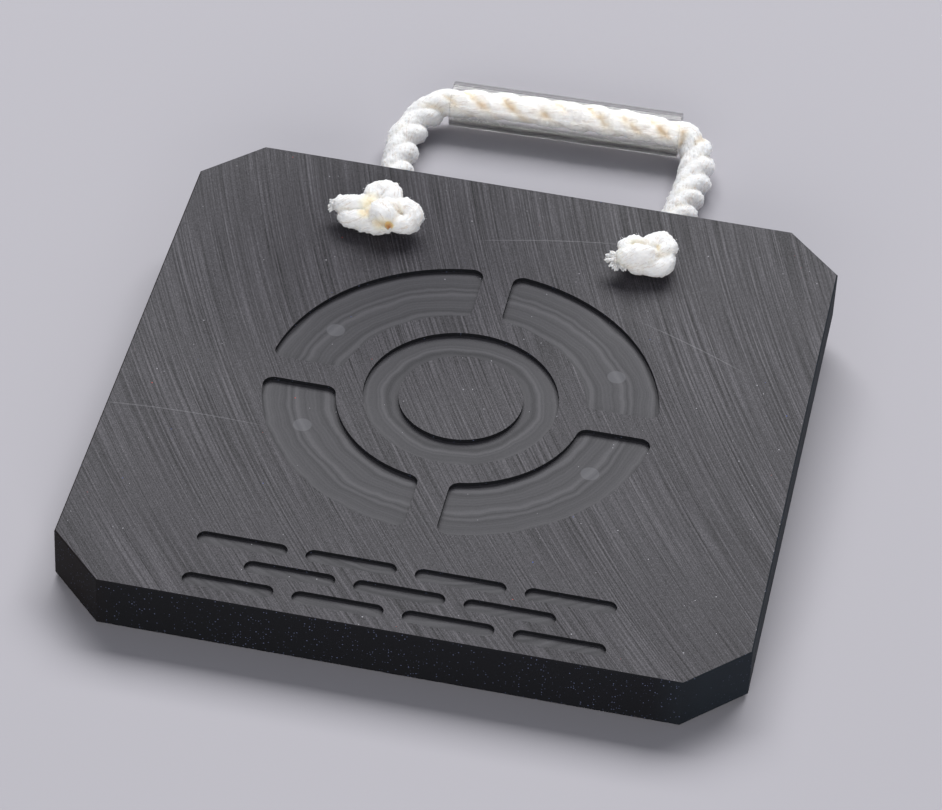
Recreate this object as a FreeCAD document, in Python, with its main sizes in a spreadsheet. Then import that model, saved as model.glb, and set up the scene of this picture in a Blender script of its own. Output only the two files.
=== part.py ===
import FreeCAD, Part
import math
import os

import Sketcher
from FreeCAD import Placement, Rotation, Vector

# Jack base plate: a square slab of black polyethylene with cut corners, milled
# pockets in its top face, and a rope handle with a clear sleeve.
# Millimetres. The frame's origin is under the middle of the slab, on the floor.
# The slab rests on its front lower edge and, behind the rope holes, on the rope
# that runs out under it, so its rear edge is raised by the rope's thickness.

os.makedirs("parts", exist_ok=True)
doc = FreeCAD.newDocument("JackBasePlate")

# Driving sizes

SIZES = [
    ("plate_side", 304.8),
    ("plate_thickness", 25.4),
    ("corner_cut", 25.4),
    ("edge_break", 0.6),
    ("pocket_depth", 2.0),
    ("cutter_corner", 5.0),
    ("seat_radius", 28.0),
    ("ring_width", 16.0),
    ("ring_land", 12.0),
    ("sector_width", 33.0),
    ("spoke_land", 14.0),
    ("sector_count", 4),
    ("groove_depth", 1.6),
    ("groove_width", 7.6),
    ("groove_length", 40.0),
    ("groove_gap", 8.0),
    ("groove_count", 4),
    ("groove_edge_land", 7.2),
    ("groove_line_land", 5.4),
    ("hole_diameter", 15.9),
    ("hole_spacing", 127.0),
    ("hole_inset", 38.1),
    ("mouth_cut", 6.5),
    ("mouth_break", 1.0),
    ("rope_diameter", 14.0),
    ("rope_clearance", 0.3),
    ("left_lobe", 9.6),
    ("left_knot_reach", 12.6),
    ("right_lobe", 8.6),
    ("right_knot_reach", 8.2),
    ("knot_squash", 1.2),
    ("knot_offset", 4.6),
    ("knot_crown", 3.6),
    ("tail_length", 17.0),
    ("sleeve_bore", 19.05),
    ("sleeve_wall", 1.575),
    ("sleeve_length", 114.3),
    ("sleeve_middle_x", 1.6),
    ("sleeve_behind_turns", 138.4),
    ("sleeve_turn", 1.8),
]

sheet = doc.addObject("Spreadsheet::Sheet", "Sizes")
for row, (alias, value) in enumerate(SIZES, start=1):
    sheet.set("A%d" % row, alias)
    sheet.set("B%d" % row, str(value))
    sheet.setAlias("B%d" % row, alias)
doc.recompute()


def size(alias):
    return float(sheet.get(alias))


# How the slab leans: the rope turns round the countersink under each hole, and
# the centre of that turn is as far above the floor as the rope needs

REACH = (
    "(Sizes.plate_side - Sizes.hole_inset + Sizes.hole_diameter / 2"
    " + Sizes.mouth_cut - Sizes.edge_break)"
)
RAISE = "(Sizes.mouth_cut + Sizes.rope_clearance + Sizes.rope_diameter)"
LEAN = (
    "asin(" + RAISE + " / sqrt(" + REACH + "^2 + Sizes.mouth_cut^2))"
    " - atan(Sizes.mouth_cut / " + REACH + ")"
)
reach = (
    size("plate_side") - size("hole_inset") + size("hole_diameter") / 2
    + size("mouth_cut") - size("edge_break")
)
lift = size("mouth_cut") + size("rope_clearance") + size("rope_diameter")
lean = math.asin(lift / math.hypot(reach, size("mouth_cut"))) - math.atan(size("mouth_cut") / reach)

# The slab's own frame has its origin at the middle of its underside. The
# placement turns it about the line that touches the floor and centres its box.
HALF = "(Sizes.plate_side / 2 - Sizes.edge_break)"
BACK = (
    "(((Sizes.plate_side - Sizes.edge_break) * cos(" + LEAN + ")"
    " - Sizes.edge_break * cos(" + LEAN + ")"
    " - Sizes.plate_thickness * sin(" + LEAN + ")) / 2)"
)
PLACE = (
    "placement(vector(0; " + HALF + " * cos(" + LEAN + ") - " + BACK + "; "
    + HALF + " * sin(" + LEAN + ")); rotation(vector(1; 0; 0); " + LEAN + "))"
)


def origin_plane(body, role):
    return [f for f in body.Origin.OriginFeatures if f.Role == role][0]


def top_sketch(body, name, height):
    sketch = body.newObject("Sketcher::SketchObject", name)
    sketch.AttachmentSupport = [(origin_plane(body, "XY_Plane"), "")]
    sketch.MapMode = "FlatFace"
    sketch.setExpression("AttachmentOffset.Base.z", height)
    return sketch


def named(sketch, name, constraint, expression):
    index = sketch.addConstraint(constraint)
    sketch.renameConstraint(index, name)
    sketch.setExpression("Constraints." + name, expression)


def straight(sketch, start, end):
    return sketch.addGeometry(Part.LineSegment(Vector(*start, 0), Vector(*end, 0)), False)


def circle(sketch, centre, radius):
    return sketch.addGeometry(Part.Circle(Vector(*centre, 0), Vector(0, 0, 1), radius), False)


def arc(sketch, centre, radius, start, end):
    round_edge = Part.Circle(Vector(*centre, 0), Vector(0, 0, 1), radius)
    return sketch.addGeometry(Part.ArcOfCircle(round_edge, math.radians(start), math.radians(end)), False)


def pocket(body, name, sketch, depth):
    cut = body.newObject("PartDesign::Pocket", name)
    cut.Profile = sketch
    cut.setExpression("Length", depth)
    sketch.Visibility = False
    return cut


def edges_where(feature, wanted):
    return ["Edge%d" % (i + 1) for i, edge in enumerate(feature.Shape.Edges) if wanted(edge)]


def upright(edge, length):
    return (
        isinstance(edge.Curve, Part.Line)
        and abs(abs(edge.tangentAt(edge.FirstParameter).z) - 1) < 1e-6
        and abs(edge.Length - length) < 1e-4
    )


def at_height(edge, height):
    return all(abs(v.Z - height) < 1e-6 for v in edge.Vertexes)


# Slab: a square pad with its four corners cut off and its edges broken

base_plate = doc.addObject("PartDesign::Body", "base_plate")
base_plate.Label = "base_plate"

outline = top_sketch(base_plate, "slab_outline", "0")
half = size("plate_side") / 2
corners = [(-half, -half), (half, -half), (half, half), (-half, half)]
for i in range(4):
    straight(outline, corners[i], corners[(i + 1) % 4])
for i in range(4):
    outline.addConstraint(Sketcher.Constraint("Coincident", i, 2, (i + 1) % 4, 1))
for i in (0, 2):
    outline.addConstraint(Sketcher.Constraint("Horizontal", i))
for i in (1, 3):
    outline.addConstraint(Sketcher.Constraint("Vertical", i))
outline.addConstraint(Sketcher.Constraint("Symmetric", 0, 1, 1, 2, -1, 1))
named(outline, "side", Sketcher.Constraint("Distance", 0, half * 2), "Sizes.plate_side")
named(outline, "depth", Sketcher.Constraint("Distance", 1, half * 2), "Sizes.plate_side")

slab = base_plate.newObject("PartDesign::Pad", "slab")
slab.Profile = outline
slab.setExpression("Length", "Sizes.plate_thickness")
doc.recompute()

cut_corners = base_plate.newObject("PartDesign::Chamfer", "cut_corners")
cut_corners.Base = (slab, edges_where(slab, lambda e: upright(e, size("plate_thickness"))))
cut_corners.setExpression("Size", "Sizes.corner_cut")
doc.recompute()

broken_edges = base_plate.newObject("PartDesign::Chamfer", "broken_edges")
broken_edges.Base = (
    cut_corners,
    edges_where(cut_corners, lambda e: at_height(e, 0) or at_height(e, size("plate_thickness"))),
)
broken_edges.setExpression("Size", "Sizes.edge_break")

# Ring pocket: it leaves the round seat for the jack's foot standing in the middle

TOP = "Sizes.plate_thickness"
ring_outer = size("seat_radius") + size("ring_width")
ring_sketch = top_sketch(base_plate, "ring_sketch", TOP)
seat_edge = circle(ring_sketch, (0, 0), size("seat_radius"))
ring_edge = circle(ring_sketch, (0, 0), ring_outer)
for edge in (seat_edge, ring_edge):
    ring_sketch.addConstraint(Sketcher.Constraint("Coincident", edge, 3, -1, 1))
named(ring_sketch, "seat", Sketcher.Constraint("Radius", seat_edge, size("seat_radius")),
      "Sizes.seat_radius")
named(ring_sketch, "ring", Sketcher.Constraint("Radius", ring_edge, ring_outer),
      "Sizes.seat_radius + Sizes.ring_width")
ring_pocket = pocket(base_plate, "ring_pocket", ring_sketch, "Sizes.pocket_depth")

# Sector pockets: one drawn between two arcs and two straight lands, then
# repeated round the seat and its corners rounded by the cutter's radius

INNER = "Sizes.seat_radius + Sizes.ring_width + Sizes.ring_land"
inner = ring_outer + size("ring_land")
outer = inner + size("sector_width")
land = size("spoke_land") / 2
low = math.degrees(math.asin(land / inner))
far = math.degrees(math.asin(land / outer))
sector_sketch = top_sketch(base_plate, "sector_sketch", TOP)
inner_arc = arc(sector_sketch, (0, 0), inner, low, 90 - low)
outer_arc = arc(sector_sketch, (0, 0), outer, far, 90 - far)
lower_edge = straight(
    sector_sketch,
    (inner * math.cos(math.radians(low)), land),
    (outer * math.cos(math.radians(far)), land),
)
upper_edge = straight(
    sector_sketch,
    (land, inner * math.cos(math.radians(low))),
    (land, outer * math.cos(math.radians(far))),
)
for curve in (inner_arc, outer_arc):
    sector_sketch.addConstraint(Sketcher.Constraint("Coincident", curve, 3, -1, 1))
for first, first_end, second, second_end in (
    (inner_arc, 1, lower_edge, 1),
    (outer_arc, 1, lower_edge, 2),
    (inner_arc, 2, upper_edge, 1),
    (outer_arc, 2, upper_edge, 2),
):
    sector_sketch.addConstraint(Sketcher.Constraint("Coincident", first, first_end, second, second_end))
sector_sketch.addConstraint(Sketcher.Constraint("Horizontal", lower_edge))
sector_sketch.addConstraint(Sketcher.Constraint("Vertical", upper_edge))
named(sector_sketch, "inner", Sketcher.Constraint("Radius", inner_arc, inner), INNER)
named(sector_sketch, "outer", Sketcher.Constraint("Radius", outer_arc, outer),
      INNER + " + Sizes.sector_width")
named(sector_sketch, "lower_land", Sketcher.Constraint("DistanceY", -1, 1, lower_edge, 1, land),
      "Sizes.spoke_land / 2")
named(sector_sketch, "upper_land", Sketcher.Constraint("DistanceX", -1, 1, upper_edge, 1, land),
      "Sizes.spoke_land / 2")
sector_pocket = pocket(base_plate, "sector_pocket", sector_sketch, "Sizes.pocket_depth")

sectors = base_plate.newObject("PartDesign::PolarPattern", "sectors")
sectors.Originals = [sector_pocket]
sectors.Axis = (sector_sketch, ["N_Axis"])
sectors.Angle = 360
sectors.setExpression("Occurrences", "Sizes.sector_count")
base_plate.Tip = sectors
doc.recompute()

rounded_sectors = base_plate.newObject("PartDesign::Fillet", "rounded_sectors")
rounded_sectors.Base = (sectors, edges_where(sectors, lambda e: upright(e, size("pocket_depth"))))
rounded_sectors.setExpression("Radius", "Sizes.cutter_corner")

# Grip grooves: three lines of round-ended grooves along the front edge, the
# middle line with one groove fewer so that the lines lie like bricks

PITCH = "(Sizes.groove_length + Sizes.groove_gap)"
STEP = "(Sizes.groove_width + Sizes.groove_line_land)"


def groove_line(name, line, fewer):
    radius = size("groove_width") / 2
    count = "(Sizes.groove_count - %d)" % fewer
    reach_x = size("groove_length") - 2 * radius
    first_x = -(
        (size("groove_count") - fewer) * (size("groove_length") + size("groove_gap")) - size("groove_gap")
    ) / 2 + radius
    first_y = -size("plate_side") / 2 + size("groove_edge_land") + radius + line * (
        size("groove_width") + size("groove_line_land")
    )
    sketch = top_sketch(base_plate, name + "_sketch", TOP)
    near_end = arc(sketch, (first_x, first_y), radius, 90, 270)
    far_end = arc(sketch, (first_x + reach_x, first_y), radius, -90, 90)
    front = straight(sketch, (first_x, first_y - radius), (first_x + reach_x, first_y - radius))
    back = straight(sketch, (first_x + reach_x, first_y + radius), (first_x, first_y + radius))
    sketch.addConstraint(Sketcher.Constraint("Tangent", near_end, 2, front, 1))
    sketch.addConstraint(Sketcher.Constraint("Tangent", front, 2, far_end, 1))
    sketch.addConstraint(Sketcher.Constraint("Tangent", far_end, 2, back, 1))
    sketch.addConstraint(Sketcher.Constraint("Tangent", back, 2, near_end, 1))
    sketch.addConstraint(Sketcher.Constraint("Horizontal", front))
    named(sketch, "round", Sketcher.Constraint("Radius", near_end, radius), "Sizes.groove_width / 2")
    named(sketch, "length", Sketcher.Constraint("DistanceX", near_end, 3, far_end, 3, reach_x),
          "Sizes.groove_length - Sizes.groove_width")
    named(sketch, "along", Sketcher.Constraint("DistanceX", near_end, 3, -1, 1, -first_x),
          "(" + count + " * " + PITCH + " - Sizes.groove_gap - Sizes.groove_width) / 2")
    named(sketch, "inset", Sketcher.Constraint("DistanceY", near_end, 3, -1, 1, -first_y),
          "Sizes.plate_side / 2 - Sizes.groove_edge_land - Sizes.groove_width / 2 - %d * %s" % (line, STEP))
    one = pocket(base_plate, name + "_groove", sketch, "Sizes.groove_depth")
    repeated = base_plate.newObject("PartDesign::LinearPattern", name)
    repeated.Originals = [one]
    repeated.Direction = (sketch, ["H_Axis"])
    repeated.setExpression("Length", "(" + count + " - 1) * " + PITCH)
    repeated.setExpression("Occurrences", count)
    base_plate.Tip = repeated
    doc.recompute()
    return repeated


groove_line("front_line", 0, 0)
groove_line("middle_line", 1, 1)
groove_line("rear_line", 2, 0)

# Rope holes: two through holes near the rear edge, countersunk underneath so that
# the rope turns there, with their upper mouths only broken

hole_sketch = top_sketch(base_plate, "hole_sketch", TOP)
hole_y = size("plate_side") / 2 - size("hole_inset")
left_hole = circle(hole_sketch, (-size("hole_spacing") / 2, hole_y), size("hole_diameter") / 2)
right_hole = circle(hole_sketch, (size("hole_spacing") / 2, hole_y), size("hole_diameter") / 2)
hole_sketch.addConstraint(Sketcher.Constraint("Symmetric", left_hole, 3, right_hole, 3, -2))
hole_sketch.addConstraint(Sketcher.Constraint("Equal", left_hole, right_hole))
named(hole_sketch, "bore", Sketcher.Constraint("Diameter", left_hole, size("hole_diameter")),
      "Sizes.hole_diameter")
named(hole_sketch, "spacing", Sketcher.Constraint("DistanceX", left_hole, 3, right_hole, 3,
                                                  size("hole_spacing")), "Sizes.hole_spacing")
named(hole_sketch, "inset", Sketcher.Constraint("DistanceY", -1, 1, left_hole, 3, hole_y),
      "Sizes.plate_side / 2 - Sizes.hole_inset")
rope_holes = pocket(base_plate, "rope_holes", hole_sketch, "Sizes.plate_thickness")
rope_holes.Type = "ThroughAll"
doc.recompute()


def hole_rim(edge, height):
    return (
        isinstance(edge.Curve, Part.Circle)
        and at_height(edge, height)
        and abs(edge.Curve.Radius - size("hole_diameter") / 2) < 1e-4
        and abs(edge.Curve.Center.y - hole_y) < 1e-4
    )


lower_mouths = base_plate.newObject("PartDesign::Chamfer", "lower_mouths")
lower_mouths.Base = (rope_holes, edges_where(rope_holes, lambda e: hole_rim(e, 0)))
lower_mouths.setExpression("Size", "Sizes.mouth_cut")
doc.recompute()

upper_mouths = base_plate.newObject("PartDesign::Chamfer", "upper_mouths")
upper_mouths.Base = (
    lower_mouths,
    edges_where(lower_mouths, lambda e: hole_rim(e, size("plate_thickness"))),
)
upper_mouths.setExpression("Size", "Sizes.mouth_break")
base_plate.Tip = upper_mouths
base_plate.setExpression("Placement", PLACE)
doc.recompute()

# Rope: one length of laid rope, tied in a stopper knot on the slab at each hole,
# down the hole, round its countersink, out over the floor and through the sleeve

rope_radius = size("rope_diameter") / 2
bend_radius = size("mouth_cut") + size("rope_clearance") + rope_radius


def on_floor(slab_point):
    return base_plate.Placement.multVec(Vector(*slab_point))


def hole_points(side):
    x = side * size("hole_spacing") / 2
    y = hole_y + size("hole_diameter") / 2 - size("rope_clearance") - rope_radius
    top = on_floor((x, y, size("plate_thickness") + rope_radius))
    under = on_floor((x, y, 0))
    along = (top.z - rope_radius) / (top.z - under.z)
    return top, top + (under - top) * along


# Points of the route between the two turns, as the rope lies: sideways from the
# hole on that side, rearward from the turns, and up from the floor

LEFT_ROUTE = [
    (-3.6, 45.0, 7.0),
    (-10.0, 95.0, 7.0),
    (-8.9, 117.6, 7.4),
    (-3.9, 129.7, 8.6),
    (4.0, 136.4, 9.8),
]
RIGHT_ROUTE = [
    (-1.7, 139.5, 9.8),
    (5.5, 131.9, 8.4),
    (8.3, 120.1, 7.4),
    (7.7, 100.5, 7.0),
    (2.8, 52.0, 7.0),
]

left_top, left_turn = hole_points(-1)
right_top, right_turn = hole_points(1)
left_origin = Vector(left_turn.x, left_turn.y, 0)
right_origin = Vector(right_turn.x, right_turn.y, 0)
route = (
    [left_top, left_turn]
    + [left_origin + Vector(*p) for p in LEFT_ROUTE]
    + [right_origin + Vector(*p) for p in RIGHT_ROUTE]
    + [right_turn, right_top]
)


def rope_wire(points, first_radius):
    edges = []
    at = points[0]
    radii = []
    for i in range(1, len(points) - 1):
        back = points[i - 1] - points[i]
        ahead = points[i + 1] - points[i]
        half_turn = (math.pi - back.getAngle(ahead)) / 2
        if i in (1, len(points) - 2):
            radius = first_radius
        else:
            radius = 0.45 * min(back.Length, ahead.Length) / math.tan(half_turn)
        radii.append(round(radius, 1))
        reach_in = radius * math.tan(half_turn)
        start = points[i] + Vector(back).normalize() * reach_in
        end = points[i] + Vector(ahead).normalize() * reach_in
        inward = (Vector(back).normalize() + Vector(ahead).normalize()).normalize()
        middle = points[i] + inward * (radius / math.cos(half_turn) - radius)
        edges.append(Part.LineSegment(at, start).toShape())
        edges.append(Part.Arc(start, middle, end).toShape())
        at = end
    edges.append(Part.LineSegment(at, points[-1]).toShape())
    return Part.Wire(edges), radii


wire, radii = rope_wire(route, bend_radius)
rope_route = doc.addObject("Part::Feature", "rope_route")
rope_route.Shape = wire

rope_section = doc.addObject("Part::Circle", "rope_section")
rope_section.setExpression("Radius", "Sizes.rope_diameter / 2")
rope_section.Placement = Placement(route[0], Rotation(Vector(0, 0, 1), route[1] - route[0]))

rope_run = doc.addObject("Part::Sweep", "rope_run")
rope_run.Sections = [rope_section]
rope_run.Spine = (rope_route, ["Edge%d" % (i + 1) for i in range(len(wire.Edges))])
rope_run.Solid = True
rope_run.Frenet = False

# Stopper knots: plain closed forms, each the size of the tied rope: the lobes
# that the strands make round the hole, a crown over them and the cut tail, flat
# where they press on the slab


def lobe_form(name, centre_x, centre_y, foot, lobe):
    lower = doc.addObject("Part::Cone", name + "_lower")
    lower.setExpression("Radius1", lobe + " * 0.76")
    lower.setExpression("Radius2", lobe)
    lower.setExpression("Height", lobe + " - Sizes.knot_squash")
    lower.setExpression("Placement", "placement(vector(%s; %s; %s); rotation(0; 0; 0))"
                        % (centre_x, centre_y, foot))
    upper = doc.addObject("Part::Cone", name + "_upper")
    upper.setExpression("Radius1", lobe)
    upper.setExpression("Radius2", lobe + " * 0.58")
    upper.setExpression("Height", lobe + " * 0.9")
    upper.setExpression("Placement", "placement(vector(%s; %s; %s + %s - Sizes.knot_squash); rotation(0; 0; 0))"
                        % (centre_x, centre_y, foot, lobe))
    return [lower, upper]


def stopper_knot(name, side, lobe, knot_reach, lobe_angles, tail_angle):
    centre_x = "(%d * Sizes.hole_spacing / 2)" % side
    centre_y = "(Sizes.plate_side / 2 - Sizes.hole_inset - Sizes.knot_offset)"
    foot = "Sizes.plate_thickness"
    forms = []
    for i, angle in enumerate(lobe_angles):
        forms += lobe_form(
            "%s_lobe_%d" % (name, i + 1),
            "%s + %s * cos(%d)" % (centre_x, knot_reach, angle),
            "%s + %s * sin(%d)" % (centre_y, knot_reach, angle),
            foot,
            lobe,
        )
    forms += lobe_form(name + "_crown", centre_x, centre_y, foot + " + Sizes.knot_crown", lobe)
    tail = doc.addObject("Part::Cylinder", name + "_tail")
    tail.setExpression("Radius", "Sizes.rope_diameter / 2")
    tail.setExpression("Height", "Sizes.tail_length")
    tail.setExpression("Placement", "placement(vector(%s; %s; %s + %s - Sizes.knot_squash); "
                       "rotation(vector(%.3f; %.3f; 0); 90))"
                       % (centre_x, centre_y, foot, lobe,
                          -math.sin(math.radians(tail_angle)), math.cos(math.radians(tail_angle))))
    knot = doc.addObject("Part::MultiFuse", name)
    knot.Shapes = forms + [tail]
    knot.setExpression("Placement", PLACE)
    return knot


left_knot = stopper_knot("left_knot", -1, "Sizes.left_lobe", "Sizes.left_knot_reach", (-8, 92, 195), -72)
right_knot = stopper_knot("right_knot", 1, "Sizes.right_lobe", "Sizes.right_knot_reach", (-40, 42, 132), -152)

rope_handle = doc.addObject("Part::MultiFuse", "rope_handle")
rope_handle.Label = "rope_handle"
rope_handle.Shapes = [rope_run, left_knot, right_knot]

# Sleeve: a clear tube cut square, loose on the rope and lying on the floor

SLEEVE_RADIUS = "(Sizes.sleeve_bore / 2 + Sizes.sleeve_wall)"
SLEEVE_PLACE = (
    "placement(vector(Sizes.sleeve_middle_x - Sizes.sleeve_length / 2 * cos(Sizes.sleeve_turn);"
    " %.6f + Sizes.sleeve_behind_turns - Sizes.sleeve_length / 2 * sin(Sizes.sleeve_turn); " + SLEEVE_RADIUS
    + "); rotation(Sizes.sleeve_turn; 90; 0))"
) % left_turn.y
sleeve_outside = doc.addObject("Part::Cylinder", "sleeve_outside")
sleeve_outside.setExpression("Radius", SLEEVE_RADIUS)
sleeve_outside.setExpression("Height", "Sizes.sleeve_length")
sleeve_inside = doc.addObject("Part::Cylinder", "sleeve_inside")
sleeve_inside.setExpression("Radius", "Sizes.sleeve_bore / 2")
sleeve_inside.setExpression("Height", "Sizes.sleeve_length")
handle_sleeve = doc.addObject("Part::Cut", "handle_sleeve")
handle_sleeve.Label = "handle_sleeve"
handle_sleeve.Base = sleeve_outside
handle_sleeve.Tool = sleeve_inside
handle_sleeve.setExpression("Placement", SLEEVE_PLACE)

doc.recompute()

# Tests of the build, then one file for each piece

for item in doc.Objects:
    if "Invalid" in item.State or "Error" in item.State:
        raise RuntimeError("%s did not build: %s" % (item.Name, item.State))

tube = rope_run.Shape
expected = math.pi * rope_radius ** 2 * wire.Length
print("lean of the slab %.3f degrees" % math.degrees(lean))
print("bend radii along the rope", radii)
print("route", [tuple(round(c, 2) for c in p) for p in route])
print("rope length %.1f, tube volume %.0f, section times length %.0f" % (wire.Length, tube.Volume, expected))

for piece in (base_plate, rope_handle, handle_sleeve):
    shape = piece.Shape
    if shape.isNull() or not shape.isValid() or len(shape.Solids) != 1:
        raise RuntimeError("%s is not one sound solid" % piece.Label)
    box = shape.BoundBox
    print("%s volume %.0f, x %.2f to %.2f, y %.2f to %.2f, z %.3f to %.2f" % (
        piece.Label, shape.Volume, box.XMin, box.XMax, box.YMin, box.YMax, box.ZMin, box.ZMax))
    shape.exportStep("parts/%s.step" % piece.Label)
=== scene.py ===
import math

import bpy
import numpy as np
from mathutils import Matrix, Vector
from mathutils.kdtree import KDTree


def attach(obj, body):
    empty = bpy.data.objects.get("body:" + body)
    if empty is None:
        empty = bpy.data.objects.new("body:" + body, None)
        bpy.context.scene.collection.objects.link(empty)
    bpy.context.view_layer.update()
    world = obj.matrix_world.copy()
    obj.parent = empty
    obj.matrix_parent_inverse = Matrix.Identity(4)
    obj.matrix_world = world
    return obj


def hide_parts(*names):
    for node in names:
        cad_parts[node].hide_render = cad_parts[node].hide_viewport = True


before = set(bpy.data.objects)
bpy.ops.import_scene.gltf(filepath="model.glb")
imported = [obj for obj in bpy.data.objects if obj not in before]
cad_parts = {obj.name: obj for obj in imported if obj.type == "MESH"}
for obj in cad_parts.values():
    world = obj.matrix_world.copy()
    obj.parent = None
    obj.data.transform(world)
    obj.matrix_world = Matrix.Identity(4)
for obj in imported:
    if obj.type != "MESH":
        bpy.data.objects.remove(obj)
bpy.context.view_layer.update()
scene = bpy.context.scene
scene.view_settings.view_transform = "Standard"


# The camera stands in front of the pad, a little to its right and well above it, with a long lens, and it
# leans a few degrees to one side, as the one that took the photograph did.
def placed(name, data):
    """A new object in the scene that holds this data."""
    made = bpy.data.objects.new(name, data)
    scene.collection.objects.link(made)
    return made


lens = bpy.data.cameras.new("camera")
lens.sensor_width = 36.0
lens.lens = 166.917
camera = placed("camera", lens)
picture_right = Vector((0.978361, 0.200444, 0.051294))
picture_down = Vector((0.165591, -0.609929, -0.774962))
ahead = picture_right.cross(picture_down)
camera.matrix_world = Matrix.Translation((0.247308, -1.499520, 1.261281)) @ Matrix(
    (picture_right, -picture_down, -ahead)
).transposed().to_4x4()
scene.camera = camera


def linear(colour):
    """An sRGB hex colour as the linear one that a shader takes."""
    shares = [int(colour[i : i + 2], 16) / 255 for i in (1, 3, 5)]
    return [c / 12.92 if c <= 0.04045 else ((c + 0.055) / 1.055) ** 2.4 for c in shares] + [1.0]


def add(tree, kind, sockets=None, **settings):
    """A new node with its settings, and with its inputs set to values or linked to nodes or sockets."""
    made = tree.nodes.new(kind)
    for name, value in settings.items():
        setattr(made, name, value)
    for key, value in (sockets or {}).items():
        if isinstance(value, bpy.types.Node):
            value = next(s for s in value.outputs if s.enabled)
        if isinstance(value, bpy.types.NodeSocket):
            tree.links.new(value, made.inputs[key])
        else:
            made.inputs[key].default_value = value
    return made


def calc(tree, operation, *values, **settings):
    """A sum on values, nodes or sockets."""
    return add(tree, "ShaderNodeMath", dict(enumerate(values)), operation=operation, **settings)


def ranged(tree, value, from_min, from_max, to_min=0.0, to_max=1.0):
    """A value carried over from one range to another, and held at the ends of it."""
    ends = {"From Min": from_min, "From Max": from_max, "To Min": to_min, "To Max": to_max}
    return add(tree, "ShaderNodeMapRange", {"Value": value, **ends})


def ramp(tree, value, *stops):
    """Colours over a value: each stop is its position and its colour."""
    made = add(tree, "ShaderNodeValToRGB", {0: value})
    elements = made.color_ramp.elements
    for position, colour in stops[1:-1]:
        elements.new(position).color = linear(colour)
    for element, (position, colour) in ((elements[0], stops[0]), (elements[-1], stops[-1])):
        element.position = position
        element.color = linear(colour)
    return made


# The studio: a pale matt table, one large soft panel behind and above the pad, which gives the black face
# its grey sheen and throws the shadow forwards, a low weak one in front, and a weak cool light all round.
floor_mesh = bpy.data.meshes.new("studio_table")
corners = [(-4, -4, -0.0002), (4, -4, -0.0002), (4, 4, -0.0002), (-4, 4, -0.0002)]
floor_mesh.from_pydata(corners, [], [(0, 1, 2, 3)])
studio_table = placed("studio_table", floor_mesh)
table_paint = bpy.data.materials.new("matt_table_paint")
table_paint.use_nodes = True
paint_shader = table_paint.node_tree.nodes["Principled BSDF"]
paint_shader.inputs["Base Color"].default_value = linear("#b3b1b7")
paint_shader.inputs["Roughness"].default_value = 0.9
paint_shader.inputs["Specular IOR Level"].default_value = 0.15
floor_mesh.materials.append(table_paint)


def panel(name, width, height, watts, place, colour=(1.0, 1.0, 1.0)):
    """A rectangular lamp at this place, aimed at the middle of the table."""
    lamp = bpy.data.lights.new(name, "AREA")
    lamp.shape = "RECTANGLE"
    lamp.size = width
    lamp.size_y = height
    lamp.energy = watts
    lamp.color = colour
    made = placed(name, lamp)
    made.location = place
    made.rotation_euler = (Vector((0, 0, 0)) - made.location).to_track_quat("-Z", "Y").to_euler()


panel("key_panel", 9.0, 4.5, 1180.0, (-0.45, 6.25, 6.47))
panel("front_panel", 6.0, 3.0, 300.0, (0.6, -6.2, 1.95), (1.0, 0.985, 0.965))

room = bpy.data.worlds.new("room")
room.use_nodes = True
room_tree = room.node_tree
room_tree.nodes.clear()
ray = add(room_tree, "ShaderNodeLightPath")
seen = calc(room_tree, "MAXIMUM", ray.outputs["Is Camera Ray"], ray.outputs["Is Glossy Ray"])
seen = calc(room_tree, "MAXIMUM", seen, ray.outputs["Is Transmission Ray"])
soft_fill = add(room_tree, "ShaderNodeBackground", {"Color": (0.86, 0.95, 1.17, 1.0), "Strength": 0.12})
backdrop = add(room_tree, "ShaderNodeBackground", {"Color": linear("#c2c0c8"), "Strength": 1.0})
either = add(room_tree, "ShaderNodeMixShader", {0: seen, 1: soft_fill, 2: backdrop})
add(room_tree, "ShaderNodeOutputWorld", {"Surface": either})
scene.world = room

# The pad: one slab of solid black polyethylene, sawn square with its corners cut off, planed on its faces
# and milled with a ring, four sectors and rows of short grooves. It leans on the rope under its rear edge.
LEAN = 2.92303
# millimetres: its thickness, and how far its underside and its rear face lie behind its lowest front edge
PAD_THICK = 25.4
PAD_REACH = 303.6
PAD_REAR = 304.2
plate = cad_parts["base_plate"]


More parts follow.
